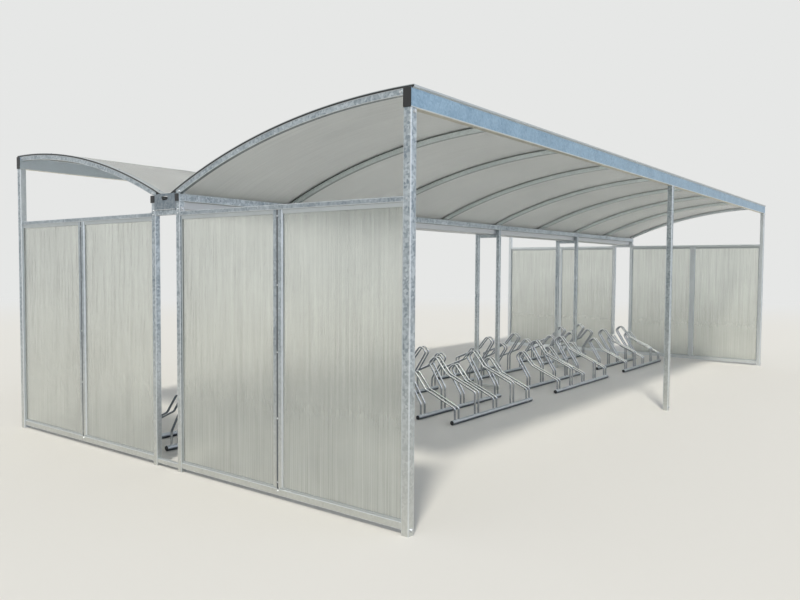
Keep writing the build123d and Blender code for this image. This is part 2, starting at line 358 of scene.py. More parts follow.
def mark_faces(data, curved):
    """Marks rounded corners, undersides, and the faces of the outer members that look inwards, which the
    zinc finish paints with highlight, shade and light.
    """
    names = ("rounded_corner", "underside", "inward_painted_light")
    facing = 0.6
    level, tilted = 0.985, 0.05
    near_outside = 0.1
    for name in names:
        data.attributes.new(name, "FLOAT", "FACE")
    marks = [data.attributes[name].data for name in names]
    for face, corner, underside, inward_painted_light in zip(data.polygons, *marks):
        steepest = abs(face.normal.x) if curved else max(abs(c) for c in face.normal)
        corner.value = float(tilted < steepest < level)
        underside.value = float(face.normal.z < -facing)
        # The outer members' faces that look inwards carry painted light in the zinc
        outermost = (
            abs(face.center.x) > LENGTH / 2 - near_outside, abs(face.center.y) > OUTER_Y - near_outside
        )
        inward = [-n * math.copysign(1, c) > facing for n, c in zip(face.normal, face.center)]
        inward_painted_light.value = float(any(a and b for a, b in zip(outermost, inward)))


def piece(name, mesh, finish, slot, *nodes, smooth_below=40, curved=False):
    """Makes the finished mesh an object that rides on the frame and stands for its CAD nodes."""
    bmesh.ops.recalc_face_normals(mesh, faces=mesh.faces)
    data = bpy.data.meshes.new(name)
    mesh.to_mesh(data)
    mesh.free()
    data.materials.append(finish)
    if finish.name.startswith("hot_dip"):
        mark_faces(data, curved)
    data.shade_smooth()
    data.set_sharp_from_angle(angle=math.radians(smooth_below))
    made = bpy.data.objects.new(name, data)
    bpy.context.scene.collection.objects.link(made)
    weighted = made.modifiers.new("Flat faces stay flat", "WEIGHTED_NORMAL")
    weighted.keep_sharp = True
    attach(made, BODY)
    if nodes:
        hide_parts(*nodes)


# Finishes

# Map Range inputs: 0 is the value, 1 and 2 the range it comes from, 3 and 4 the range it goes to.
# Colour Mix: input 0 is the share, inputs 6 and 7 the colours, and output 2 the result.
COLOUR_MIX = {"data_type": "RGBA", "clamp_factor": True}


def add(tree, kind, inputs=None, **settings):
    """Adds a shader node with its settings. An input takes a value, an output or a whole node."""
    made = tree.nodes.new(f"ShaderNode{kind}")
    for name, value in settings.items():
        setattr(made, name, value)
    for name, value in (inputs or {}).items():
        if isinstance(value, bpy.types.Node):
            value = value.outputs[0]
        if isinstance(value, bpy.types.NodeSocket):
            tree.links.new(value, made.inputs[name])
        else:
            made.inputs[name].default_value = value
    return made


def finish_named(name):
    """New material and its empty tree, or the material and None if it's there already."""
    if name in bpy.data.materials:
        return bpy.data.materials[name], None
    made = bpy.data.materials.new(name)
    made.use_nodes = True
    made.node_tree.nodes.clear()
    return made, made.node_tree


def close_tree(tree, height, strength, depth, inputs):
    """Ends a finish with its bumps, which stand depth high, and its surface shader."""
    bump = add(tree, "Bump", {"Strength": strength, "Distance": depth, "Height": height})
    surface = add(tree, "BsdfPrincipled", {**inputs, "Normal": bump})
    add(tree, "OutputMaterial", {"Surface": surface})


def colours():
    """The colours set in the panel."""
    return bpy.context.scene.shelter_colours


def sizes():
    """The sizes set in the panel."""
    return bpy.context.scene.shelter_sizes


def opaque(colour, share=1.0):
    """Share of a colour, with full alpha."""
    return (*[min(1.0, c * share) for c in colour], 1.0)


def hot_dip_zinc(member):
    """Hot-dip galvanised steel tube: zinc crystals of many greys, cloudy patches, and a soft gloss."""
    made, tree = finish_named(f"hot_dip_zinc_{member}")
    if tree is None:
        return made
    paint = colours()
    # The two crystal colours, how far the crystals differ, and the painted shade on undersides, a painted
    # warm reflection of the floor on the outer beams
    dull, bright, contrast, painted_underside = {
        "posts": (paint.zinc_dull, paint.zinc_bright, 0.68, "8E9496"),
        # The outer beams' blue is a painted reflection of the sky, and their tan underside tone a painted
        # reflection of the floor
        "beams": (paint.beam_dull_painted_sky, paint.beam_bright_painted_sky, 0.40, "D8CDB2"),
        # The rafters' pale zinc is painted light for their faces under the roof
        "rafters": (paint.rafter_dull_painted_light, paint.rafter_bright_painted_light, 0.45, "8F9694"),
        "rails": (paint.rail_dull, paint.zinc_bright, 0.40, "8E9496"),
        "plates": (paint.rail_dull, paint.sheet_zinc, 0.70, "8E9496"),
    }[member]
    place = add(tree, "TexCoord").outputs["Object"]
    crystals = add(tree, "TexVoronoi", {"Vector": place, "Scale": 1 / sizes().spangle})
    shade = add(tree, "SeparateColor", {"Color": crystals.outputs["Color"]})
    # Clouds 200 mm wide, and a grain of about 4.5 mm
    clouds = add(
        tree, "TexNoise", {"Vector": place, "Scale": 1 / (200 * MM), "Detail": 4.0, "Roughness": 0.6}
    )
    fine = add(tree, "TexNoise", {"Vector": place, "Scale": 220.0, "Detail": 2.0})
    mixed = add(
        tree, "Math", {0: shade.outputs["Red"], 1: contrast, 2: -contrast / 2}, operation="MULTIPLY_ADD"
    )
    patch = add(tree, "Math", {0: clouds, 1: mixed}, operation="ADD")
    zinc = add(tree, "Mix", {0: patch, 6: opaque(dull), 7: opaque(bright)}, **COLOUR_MIX)
    # Splashed dust and painted light of the floor's bounce pale the feet of posts and walls, up to 1 m
    height = add(tree, "SeparateXYZ", {"Vector": place})
    splash_and_bounce = add(tree, "MapRange", {0: height.outputs["Z"], 1: 0.04, 2: 1.00, 3: 0.75, 4: 0.0})
    marks = [(splash_and_bounce, "D8D9D4")]
    # Undersides get a painted shade, the faces of the outer members that look inwards get painted light,
    # and rounded corners get a painted highlight
    for mark, share, tone in (
        ("underside", 0.75, painted_underside), ("inward_painted_light", 0.75, "E6EBEE"), ("rounded_corner", 0.6, "E9EEF2"),
    ):
        marked = add(tree, "Attribute", attribute_name=mark).outputs["Fac"]
        marks.append((add(tree, "Math", {0: marked, 1: share}, operation="MULTIPLY"), tone))
    for share, tone in marks:
        zinc = add(tree, "Mix", {0: share, 6: zinc.outputs[2], 7: opaque(linear(tone))}, **COLOUR_MIX)
    gloss = add(tree, "MapRange", {0: shade.outputs["Green"], 3: 0.30, 4: 0.48})
    grain = add(tree, "Math", {0: fine, 1: 0.35, 2: shade.outputs["Blue"]}, operation="MULTIPLY_ADD")
    close_tree(
        tree, grain, strength=0.2, depth=0.3 * MM,
        inputs={"Base Color": zinc.outputs[2], "Metallic": 1.0, "Roughness": gloss},
    )
    return made


def cloudy_metal(name, colour, rough, patch_size, grain_size, dark=0.8, painted_shade_below=None):
    """Metal whose colour and gloss drift over patches, with a fine grain, and, where given, a painted
    shade on faces that look down.
    """
    made, tree = finish_named(name)
    if tree is None:
        return made
    place = add(tree, "TexCoord").outputs["Object"]
    patches = add(
        tree, "TexNoise", {"Vector": place, "Scale": 1 / patch_size, "Detail": 3.0, "Roughness": 0.55}
    )
    grain = add(tree, "TexNoise", {"Vector": place, "Scale": 1 / grain_size, "Detail": 2.0})
    tint = add(tree, "Mix", {0: patches, 6: opaque(colour, dark), 7: opaque(colour)}, **COLOUR_MIX)
    if painted_shade_below:
        # Faces that look down take the darker colour: painted shade
        facing = add(tree, "NewGeometry").outputs["Normal"]
        level = add(tree, "SeparateXYZ", {"Vector": facing})
        above = add(tree, "MapRange", {0: level.outputs["Z"], 1: -0.3, 2: 0.5})
        tint = add(tree, "Mix", {0: above, 6: opaque(linear(painted_shade_below)), 7: tint.outputs[2]}, **COLOUR_MIX)
    gloss = add(tree, "MapRange", {0: patches, 1: 0.3, 2: 0.7, 3: rough + 0.08, 4: rough - 0.06})
    close_tree(
        tree, grain, strength=0.08, depth=0.2 * MM,
        inputs={"Base Color": tint.outputs[2], "Metallic": 1.0, "Roughness": gloss},
    )
    return made


def galvanised_sheet():
    """Folded galvanised sheet: smaller spangle than the tubes, so only soft grey clouds."""
    return cloudy_metal("galvanised_sheet", colours().sheet_zinc, 0.42, 35 * MM, 6 * MM, dark=0.55)


def bright_rod_zinc():
    """Bent round bar, hot-dip galvanised: bright on top, and darker below with painted shade."""
    return cloudy_metal(
        "bright_rod_zinc", colours().rod_zinc, 0.15, 45 * MM, 4 * MM, dark=0.75, painted_shade_below="78818A"
    )


def rack_rail_zinc():
    """Round rack tube, hot-dip galvanised: greyer than the rods, with a long soft highlight, and painted
    shade below.
    """
    return cloudy_metal(
        "rack_rail_zinc", colours().rail_zinc, 0.33, 50 * MM, 5 * MM, dark=0.66, painted_shade_below="5A6269"
    )


def mill_aluminium():
    """Extruded aluminium as it leaves the die: pale and even, a little dulled by oxide."""
    return cloudy_metal("mill_aluminium", colours().aluminium, 0.36, 90 * MM, 3 * MM, dark=0.86)


def zinc_plated_bolt():
    """Zinc-plated bolts and washers: small and bright."""
    return cloudy_metal("zinc_plated_bolt", linear("DFE3E6"), 0.25, 12 * MM, 2 * MM)


def fluted_polycarbonate(name, colour, flute_axis, clear, rough):
    """Fluted polycarbonate sheet: its ribs blur what's behind, and milky streaks run along them."""
    made, tree = finish_named(name)
    if tree is None:
        return made
    place = add(tree, "TexCoord").outputs["Object"]
    split = add(tree, "SeparateXYZ", {"Vector": place})
    # The real ribs stand about 10.5 mm apart, too fine to show, so they are drawn coarser
    ribs = add(
        tree, "Math", {0: split.outputs[flute_axis], 1: 2 * math.pi / sizes().flute_pitch},
        operation="MULTIPLY",
    )
    wave = add(tree, "Math", {0: ribs}, operation="SINE")
    # Streaks change every 12 mm across the flutes and every 670 mm along them
    stretch = [1.5, 1.5, 1.5]
    stretch["XYZ".index(flute_axis)] = 85.0
    squeezed = add(tree, "VectorMath", {0: place, 1: stretch}, operation="MULTIPLY")
    streaks = add(
        tree, "TexNoise", {"Vector": squeezed, "Scale": 1.0, "Detail": 4.0, "Roughness": 0.62}
    )
    spread = add(tree, "MapRange", {0: streaks, 1: 0.32, 2: 0.68})
    ridges = add(tree, "Math", {0: wave, 1: 0.20, 2: spread}, operation="MULTIPLY_ADD")
    # A dusty film lies over the sheets in patches about 550 mm wide
    dust = add(tree, "TexNoise", {"Vector": place, "Scale": 1.8, "Detail": 4.0, "Roughness": 0.6})
    veil = add(tree, "Math", {0: dust, 1: 1.1, 2: ridges}, operation="MULTIPLY_ADD")
    shade = add(tree, "MapRange", {0: veil, 1: 0.30, 2: 1.80})
    tint = add(tree, "Mix", {0: shade, 6: opaque(colour, 0.83), 7: opaque(colour, 1.15)}, **COLOUR_MIX)
    # Rain splashes from the ground leave the lower part of a wall milky
    through = add(
        tree, "MapRange", {0: split.outputs["Z"], 1: 0.05, 2: 1.30, 3: clear - 0.30, 4: clear}
    )
    haze = add(tree, "MapRange", {0: streaks, 1: 0.3, 2: 0.7, 3: rough - 0.04, 4: rough + 0.06})
    close_tree(
        tree, ridges, strength=0.8, depth=0.8 * MM,
        inputs={
            "Base Color": tint.outputs[2], "Roughness": haze, "IOR": 1.58,
            "Transmission Weight": through,
        },
    )
    return made


def roof_polycarbonate():
    """Roof sheets: flutes along the arch, and hazed by weather, so only light comes through."""
    return fluted_polycarbonate("roof_polycarbonate", colours().roof_tint, "X", clear=0.92, rough=0.45)


def wall_polycarbonate():
    """Wall sheets: upright flutes, clearer than the roof, so shapes behind show as upright smears."""
    return fluted_polycarbonate("wall_polycarbonate", colours().wall_tint, "Y", clear=0.88, rough=0.13)


def dusty_matt(name, colour, rough, grain_size):
    """Dark matt surface with a faint grain, paler where dust lies in patches about 33 mm wide."""
    made, tree = finish_named(name)
    if tree is None:
        return made
    place = add(tree, "TexCoord").outputs["Object"]
    grain = add(tree, "TexNoise", {"Vector": place, "Scale": 1 / grain_size, "Detail": 3.0})
    dust = add(tree, "TexNoise", {"Vector": place, "Scale": 30.0, "Detail": 4.0})
    tint = add(tree, "Mix", {0: dust, 6: opaque(colour), 7: opaque(colour, 2.2)}, **COLOUR_MIX)
    gloss = add(tree, "MapRange", {0: dust, 3: rough - 0.1, 4: rough + 0.1})
    close_tree(
        tree, grain, strength=0.3, depth=0.15 * MM,
        inputs={"Base Color": tint.outputs[2], "Roughness": gloss, "IOR": 1.5},
    )
    return made


def moulded_plastic():
    """Moulded polyethylene caps: nearly black, satin, with a fine mould texture."""
    return dusty_matt("moulded_plastic", colours().plastic, 0.45, 1.5 * MM)


def rubber_gasket():
    """Extruded EPDM gasket: matt charcoal."""
    return dusty_matt("rubber_gasket", colours().rubber, 0.75, 2 * MM)


def weathered_seal():
    """EPDM seal out in the sun: bloomed to a dusty grey."""
    return dusty_matt("weathered_seal", colours().seal, 0.8, 2 * MM)


def dried_silt():
    """Dried silt and leaf dust, settled from rain: matt, dark and uneven."""
    return dusty_matt("dried_silt", colours().silt, 0.9, 5 * MM)


# Operators


class SHELTER_OT_posts(bpy.types.Operator):
    """Outer and inner posts, and the ties between the inner ones"""

    bl_idname = "shelter.posts"
    bl_label = "Posts"

    def execute(self, context):
        kinds = {
            "outer": (OUTER_POST_XS, OUTER_Y, BEAM_LOW.z, POST_SIZE, sizes().post_corner),
            "inner": (INNER_POST_XS, INNER_Y, INNER_LOW.z, INNER_SIZE, sizes().tube_corner),
        }
        for name, side in SIDES.items():
            for kind, (xs, y, top, size, corner) in kinds.items():
                posts = bmesh.new()
                section = rounded(size, size, corner)
                for x in xs:
                    bar(posts, section, (x, side * y, 0), (x, side * y, top), ALONG_X)
                piece(
                    f"{kind}_post_tubes_{name}", posts, hot_dip_zinc("posts"), "galvanised_steel",
                    f"{kind}_posts_{name}",
                )
        ties = bmesh.new()
        reach = INNER_Y - INNER_SIZE / 2
        for z, height in ((GUTTER_TIE_Z, GUTTER_TIE_H), (TIES_LOW.z + FOOT_TIE_H / 2, FOOT_TIE_H)):
            for x in INNER_POST_XS:
                bar(ties, rounded(TIE_W, height, 3 * MM), (x, -reach, z), (x, reach, z), ALONG_X)
        piece("post_pair_tie_tubes", ties, hot_dip_zinc("posts"), "galvanised_steel", "post_pair_ties")
        return {"FINISHED"}


class SHELTER_OT_beams(bpy.types.Operator):
    """Outer and inner beams, and the plastic caps in their ends"""

    bl_idname = "shelter.beams"
    bl_label = "Beams"

    def execute(self, context):
        caps = bmesh.new()
        inset = 1.5 * MM
        kinds = {
            "outer": (BEAM_LOW, BEAM_HIGH, OUTER_Y, sizes().post_corner, "beams"),
            "inner": (INNER_LOW, INNER_HIGH, INNER_Y, sizes().tube_corner, "posts"),
        }
        for kind, (low, high, y, corner, member) in kinds.items():
            width, height = high.y - low.y, high.z - low.z
            # The flange of a cap is a little smaller than the tube, so that the tube's rim shows
            flange = rounded(width - inset, height - inset, corner - 1 * MM)
            for name, side in SIDES.items():
                at = (side * y, (low.z + high.z) / 2)
                beam = bmesh.new()
                bar(beam, rounded(width, height, corner), (-BEAM_END, *at), (BEAM_END, *at), ALONG_Y)
                piece(
                    f"{kind}_beam_tube_{name}", beam, hot_dip_zinc(member), "galvanised_steel",
                    f"{kind}_beam_{name}",
                )
                for end in ENDS.values():
                    rim, outside = (end * BEAM_END, *at), (end * CAD_BOX[1].x, *at)
                    bar(caps, flange, rim, outside, ALONG_Y, bevel=1.2 * MM)
        piece("beam_caps", caps, moulded_plastic(), "black_plastic", "beam_end_caps")
        return {"FINISHED"}


class SHELTER_OT_rafters(bpy.types.Operator):
    """Arched rafters, the brackets at their feet, and the gaskets between them and the sheets"""

    bl_idname = "shelter.rafters"
    bl_label = "Rafters"

    def execute(self, context):
        gaskets, brackets = bmesh.new(), bmesh.new()
        section = [(a, b - RAFTER_H / 2) for a, b in rounded(RAFTER_W, RAFTER_H, 3.5 * MM)]
        show = sizes().gasket
        lip = [(0, -0.2 * MM), (show, -0.2 * MM), (show, -1.6 * MM), (show * 0.4, -2.2 * MM), (0, -2 * MM)]
        bracket = in_mm((0, 0), (30, 0), (30, 3), (5.5, 3), (3.7, 3.7), (3, 5.5), (3, 22), (0, 22))
        bracket_half = 17 * MM
        for name, side in SIDES.items():
            rafters, end_rafters = bmesh.new(), bmesh.new()
            for x in RAFTER_XS:
                tubes = end_rafters if x in (RAFTER_XS[0], RAFTER_XS[-1]) else rafters
                arched(tubes, side, x, section, RAFTER_OUT, RAFTER_IN, lowest=INNER_HIGH.z)
                for hand in (-1, 1):
                    edge = x + hand * RAFTER_HALF
                    if abs(edge) < LENGTH / 2:
                        strip = [(a * hand, b) for a, b in lip]
                        arched(gaskets, side, edge, strip, RAFTER_OUT, RAFTER_IN, lowest=INNER_HIGH.z)
                hand = towards_middle(x)
                rings = []
                for reach in (-bracket_half, bracket_half):
                    y = across(side, FOOT_U) + reach
                    rings.append(
                        [(x + hand * (RAFTER_HALF + a), y, INNER_HIGH.z + b) for a, b in bracket]
                    )
                loft(brackets, rings)
            # The inner rafters take the paler zinc with its painted light; the end rafters take the posts'
            # zinc
            piece(
                f"rafter_tubes_{name}", rafters, hot_dip_zinc("rafters"), "galvanised_steel",
                f"rafters_{name}", curved=True,
            )
            piece(
                f"end_rafter_tubes_{name}", end_rafters, hot_dip_zinc("posts"), "galvanised_steel",
                curved=True,
            )
        piece("rafter_gaskets", gaskets, rubber_gasket(), "black_plastic")
        piece("rafter_foot_angles", brackets, galvanised_sheet(), "galvanised_sheet", "rafter_brackets")
        return {"FINISHED"}


class SHELTER_OT_roof(bpy.types.Operator):
    """Arched roof sheets with their cover strips, screws and edge profiles"""

    bl_idname = "shelter.roof"
    bl_label = "Roof"

    def execute(self, context):
        screws, trims, seals = bmesh.new(), bmesh.new(), bmesh.new()
        for name, side in SIDES.items():
            self.sheets(name, side)
            self.strips(name, side, screws, seals)
            self.edges(name, side, trims)
        piece("edge_profiles", trims, mill_aluminium(), "aluminium_profile", "roof_edge_trims")
        piece("strip_screws", screws, zinc_plated_bolt(), "galvanised_steel")
        piece("roof_end_gaskets", seals, rubber_gasket(), "black_plastic")
        return {"FINISHED"}

    def sheets(self, name, side):
        """One sheet to a bay, with a gap between them over each rafter."""
        sheets = bmesh.new()
        for x, after in zip(RAFTER_XS, RAFTER_XS[1:]):
            low = x - RAFTER_HALF if x == RAFTER_XS[0] else x + SHEET_GAP / 2
            high = after + RAFTER_HALF if after == RAFTER_XS[-1] else after - SHEET_GAP / 2
            band = [(low, 0), (high, 0), (high, SHEET_T), (low, SHEET_T)]
            arched(sheets, side, 0, band, SHEET_OUT, SHEET_IN)
        piece(
            f"roof_sheet_bays_{name}", sheets, roof_polycarbonate(), "roof_sheet", f"roof_sheets_{name}"
        )

    def strips(self, name, side, screws, seals):
        """Crowned strips whose edges press down on the sheets, with their screws and end seals."""
        lip = in_mm((0, 8.5), (3, 8.5), (3, 11.8), (-3, 11.8))
        seat = in_mm((0, -4.5), (1.5, -4.5), (1.5, -0.5), (0, -0.5))
        seal = in_mm((0, -0.5), (2.2, -0.5), (2.2, 8.5), (0, 8.5))
        edge, shoulder, crest = (SHEET_T + rise for rise in (0.9 * MM, 1.5 * MM, 1.8 * MM))
        flank_w, nose = 6 * MM, 2 * MM
        top = arch_z(0, SHEET_T)
        y = across(side, SHEET_OUT)
        strips = bmesh.new()
        for x in RAFTER_XS:
            outside = {RAFTER_XS[0]: -1, RAFTER_XS[-1]: 1}.get(x, 0)
            half = (STRIP_END_W if outside else STRIP_W) / 2
            centre = x + outside * (RAFTER_HALF - STRIP_END_W / 2)
            flank = [(half - flank_w, shoulder), (half, edge), (half, SHEET_T)]
            arched(strips, side, centre, [(0, crest), *mirrored(flank)], SHEET_OUT, SHEET_IN)
            # The outer end turns down over the edge profile
            box_between(
                strips, (centre - half, y, top - SHEET_T - nose),
                (centre + half, y + side * nose, top + 1.2 * MM),
            )
            gaps = round(LAST_SCREW / sizes().screw_pitch)
            for n in range(gaps + 1):
                u = LAST_SCREW * n / gaps
                slope = math.asin(u / ROOF_R)
                washer_and_head(
                    screws, (centre, across(side, u), arch_z(u, SHEET_T + 1.6 * MM)),
                    (0, -side * math.sin(slope), math.cos(slope)),
                    STRIP_SCREW if n else FLAT_STRIP_SCREW,
                )
            if outside:
                # The end strip has a bright lip down the sheet's edge, over a black seal
                for mesh, outline, first, last in (
                    (strips, lip, SHEET_OUT, SHEET_IN),
                    (strips, seat, RAFTER_OUT, RAFTER_IN),
                    (seals, seal, SHEET_OUT, SHEET_IN),
                ):
                    outline = [(outside * a, b) for a, b in outline]
                    arched(mesh, side, x + outside * RAFTER_HALF, outline, first, last)
        piece(
            f"cover_strip_caps_{name}", strips, mill_aluminium(), "aluminium_profile",
            f"cover_strips_{name}",
        )

    def edges(self, name, side, trims):
        """Profile along the outer edge, which drips over the beam, and the lower edge's channel."""
        run = LENGTH / 2 + RAFTER_HALF
        skin, leg, channel_w = 1 * MM, 14 * MM, 22 * MM
        low = arch_z(0, SHEET_T) - SHEET_T
        # How far out from the sheets' edge, and how high over their underside
        beam_face = POST_SIZE / 2 + SHEET_OUT + 0.3 * MM
        profile = [
            (0, 0), (0, SHEET_T), (-leg, SHEET_T), (-leg, SHEET_T + skin),
            (skin, SHEET_T + skin), (skin, skin), (beam_face, -5 * MM),
            (beam_face, -0.2 * MM), (0, -0.2 * MM),
        ]
        ring = [(across(side, SHEET_OUT - out), low + up) for out, up in profile]
        loft(trims, [[(x, y, z) for y, z in ring] for x in (-run, run)])
        channel = [(-run, -skin), (run, -skin), (run, SHEET_T + skin), (-run, SHEET_T + skin)]
        mesh = bmesh.new()
        rings = []
        for u in (SHEET_IN - channel_w, SHEET_IN - skin):
            rings.append([(a, across(side, u), arch_z(u, b)) for a, b in channel])
        loft(mesh, rings)
        piece(f"lower_edge_channel_{name}", mesh, mill_aluminium(), "aluminium_profile")


class SHELTER_OT_gutter(bpy.types.Operator):
    """Folded gutter with its film of silt, and its slotted end plates"""

    bl_idname = "shelter.gutter"
    bl_label = "Gutter"

    def execute(self, context):
        self.trough()
        plates, hems = bmesh.new(), bmesh.new()
        slot, rim = self.slot_and_rim()
        outside = PLATE_HIGH.x
        flange, flange_t = 25 * MM, 1.5 * MM
        hem = circle(2.4 * MM, 10)
        for end in ENDS.values():
            near, far = end * (outside - GUTTER_T), end * outside
            rings = ((near, slot), (near, rim), (far, rim), (far, slot))
            loft(plates, [[(x, y, z) for y, z in ring] for x, ring in rings], looped=True)
            # Flange folded under the trough, with a rolled hem at the fold
            reach = GUTTER_HIGH.y - 4 * MM
            box_between(
                plates, (end * (outside - flange), -reach, GUTTER_LOW.z - flange_t),
                (far, reach, GUTTER_LOW.z),
            )
            x, reach, z = end * (outside + 0.5 * MM), GUTTER_HIGH.y - 3 * MM, GUTTER_LOW.z + 1 * MM
            bar(hems, hem, (x, -reach, z), (x, reach, z), ALONG_X)
        # The hem takes the bright bolt zinc: a painted highlight along the fold
        piece("gutter_plate_hems", hems, zinc_plated_bolt(), "galvanised_sheet")
        piece("gutter_plates", plates, hot_dip_zinc("plates"), "galvanised_sheet", "gutter_end_plates")
        return {"FINISHED"}

    def trough(self):
        """Folded trough, whose wall tops are turned back on themselves, and the silt inside."""
        w, low, high, t = GUTTER_HIGH.y, GUTTER_LOW.z, GUTTER_HIGH.z, GUTTER_T
        bend = 3 * MM
        fold = 12 * MM
        film = 0.4 * MM
        run = PLATE_HIGH.x - t
        trough = [
            (w - bend, low), (w, low + bend), (w, high), (w - 2.2 * t, high), (w - 2.2 * t, high - fold),
            (w - 1.2 * t, high - fold), (w - 1.2 * t, high - t), (w - t, high - t),
            (w - t, low + t + bend), (w - t - bend, low + t),
        ]
        # The silt covers the floor and most of the walls
        wet, crust = w - t - film, high - 18 * MM
        silt = [
            (w - t - bend, low + t), (w - t, low + t + bend), (w - t, crust), (wet, crust),
            (wet, low + t + 4 * MM), (wet - 4 * MM, low + t + film),
        ]
        for name, half, reach, finish, nodes in (
            ("gutter_trough", trough, run, galvanised_sheet(), ["gutter"]),
            ("gutter_silt", silt, run - t, dried_silt(), []),
        ):
            mesh = bmesh.new()
            loft(mesh, [[(x, y, z) for y, z in mirrored(half)] for x in (-reach, reach)])
            piece(name, mesh, finish, "galvanised_sheet", *nodes)

    def slot_and_rim(self):
        """Outlines of the overflow slot and of the plate, point for point, seen along X."""
        steps = 8
        radius = SLOT_H / 2
        slot, rim = [], []
        for hand in (1, -1):
            for n in range(steps + 1):
                turn = math.pi * (n / steps - 0.5)
                y = hand * (SLOT_W / 2 - radius + radius * math.cos(turn))
                dz = hand * radius * math.sin(turn)
                slot.append((y, SLOT_Z + dz))
                # The rim's point lies on the same line from the middle of the slot
                scale = GUTTER_HIGH.y / abs(y)
                if dz:
                    edge = PLATE_HIGH.z if dz > 0 else PLATE_LOW.z
                    scale = min(scale, (edge - SLOT_Z) / dz)
                rim.append((y * scale, SLOT_Z + dz * scale))
        for y in (GUTTER_HIGH.y, -GUTTER_HIGH.y):
            for z in (PLATE_HIGH.z, PLATE_LOW.z):
                nearest = min(range(len(rim)), key=lambda i: math.dist(rim[i], (y, z)))
                rim[nearest] = (y, z)
        return slot, rim


class SHELTER_OT_end_walls(bpy.types.Operator):
    """Rails and mullions of the end walls, the fluted sheets and their glazing beads"""

    bl_idname = "shelter.end_walls"
    bl_label = "End walls"

    def execute(self, context):
        screws, seals = bmesh.new(), bmesh.new()
        for end_name, end in ENDS.items():
            for name in SIDES:
                self.half_wall(f"{end_name}_{name}", end, screws, seals)
        piece("mullion_seals", seals, weathered_seal(), "black_plastic")
        piece("mullion_screws", screws, zinc_plated_bolt(), "galvanised_steel", smooth_below=30)
        return {"FINISHED"}

    def half_wall(self, wall, end, screws, seals):
        """Rails, mullion, beads, covers and sheet finish of one half of an end wall."""
        x = end * LENGTH / 2
        low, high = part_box(f"gable_frame_{wall}")
        sheet_low, sheet_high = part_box(f"gable_panels_{wall}")
        mid = (low.y + high.y) / 2
        rails = bmesh.new()
        for z0, z1, deep in ((sheet_high.z, high.z, TOP_RAIL_D), (low.z, sheet_low.z, BOTTOM_RAIL_D)):
            section, z = rounded(deep, z1 - z0, sizes().tube_corner), (z0 + z1) / 2
            bar(rails, section, (x, low.y, z), (x, high.y, z), ALONG_X)
        section = rounded(2 * MULLION_HALF, 2 * MULLION_HALF, 3.5 * MM)
        bar(rails, section, (x, mid, sheet_low.z), (x, mid, sheet_high.z), ALONG_X)
        piece(
            f"end_wall_rails_{wall}", rails, hot_dip_zinc("rails"), "galvanised_steel",
            f"gable_frame_{wall}",
        )

        wide, narrow, depth = sizes().bead_width, sizes().narrow_bead, sizes().bead_depth
        under_cover = wide - 6 * MM
        bead = [(0, 0), (0.94, 0), (1, 1.5 * MM), (1, depth - 2 * MM), (0.82, depth), (0, depth)]
        beads, covers = bmesh.new(), bmesh.new()
        for y0, y1, widths in (
            (low.y, mid - MULLION_HALF, (narrow, under_cover, wide, narrow)),
            (mid + MULLION_HALF, high.y, (narrow, narrow, wide, under_cover)),
        ):
            ring = [(y0, sheet_low.z), (y1, sheet_low.z), (y1, sheet_high.z), (y0, sheet_high.z)]
            for outward in (-1, 1):
                corners = [(x + outward * SHEET_T / 2, y, z) for y, z in ring]
                frame_loop(beads, corners, bead, (outward, 0, 0), widths)

        # Outside, a sealed and screwed groove parts the covers. Inside, they meet
        groove, face = sizes().mullion_groove / 2, x + end * MULLION_HALF
        self.covers(covers, face, end, (mid, groove), sheet_low.z, sheet_high.z)
        self.covers(covers, x - end * MULLION_HALF, -end, (mid, 0.0), sheet_low.z, sheet_high.z)
        box_between(
            seals, (face, mid - groove, sheet_low.z), (face + end * MM, mid + groove, sheet_high.z)
        )
        for z in SCREW_HEIGHTS:
            washer_and_head(screws, (face + end * 0.8 * MM, mid, z), (end, 0, 0), MULLION_SCREW)
        piece(f"glazing_beads_{wall}", beads, mill_aluminium(), "aluminium_profile")
        piece(f"mullion_covers_{wall}", covers, hot_dip_zinc("rails"), "galvanised_steel")

        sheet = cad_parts[f"gable_panels_{wall}"]
        sheet.data.materials.clear()
        sheet.data.materials.append(wall_polycarbonate())

    def covers(self, mesh, face, outward, across_mullion, low, high):
        """The two covers that clamp the sheets to a mullion: flat, then sloping down to the sheet."""
        middle, near = across_mullion
        far = MULLION_HALF + sizes().bead_width
        thick = 2 * MM
        drop = MULLION_HALF - SHEET_T / 2
        angle = [
            (near, 0.2 * MM), (near, thick), (far - 6 * MM, thick), (far - 5 * MM, thick - 0.6 * MM),
            (far, 1 * MM - drop), (far, -drop), (far - thick, -drop), (far - 7 * MM, 0.2 * MM),
        ]
        for hand in (-1, 1):
            rings = []
            for z in (low + sizes().narrow_bead, high):
                rings.append([(face + outward * b, middle + hand * a, z) for a, b in angle])
            loft(mesh, rings)


def rod_path(side, lift):
    """Centre line of one rod from rail to rail, with its bends rounded."""
    sunk = 3 * MM
    arc_step = math.radians(16)
    foot = RAIL_R * 2 - sunk
    corners = [(0.0, foot), *[(u, z + lift) for u, z, _ in ROD_BENDS], (RAIL_SPACING, foot)]
    points = [Vector((across(side, FRONT_RAIL + u), z)) for u, z in corners]
    path = [points[0]]
    for before, at, after, (_, _, radius) in zip(points, points[1:], points[2:], ROD_BENDS):
        back, on = (before - at).normalized(), (after - at).normalized()
        half_angle = math.acos(max(-1.0, min(1.0, back.dot(on)))) / 2
        cut = radius / math.tan(half_angle)
        middle = at + (back + on).normalized() * radius / math.sin(half_angle)
        first, last = at + back * cut, at + on * cut
        steps = max(3, round((math.pi - 2 * half_angle) / arc_step))
        start = math.atan2(*(first - middle).yx)
        sweep = math.atan2(*(last - middle).yx) - start
        sweep = (sweep + math.pi) % (2 * math.pi) - math.pi
        for n in range(steps + 1):
            turn = start + sweep * n / steps
            path.append(middle + Vector((math.cos(turn), math.sin(turn))) * radius)
    path.append(points[-1])
    return path


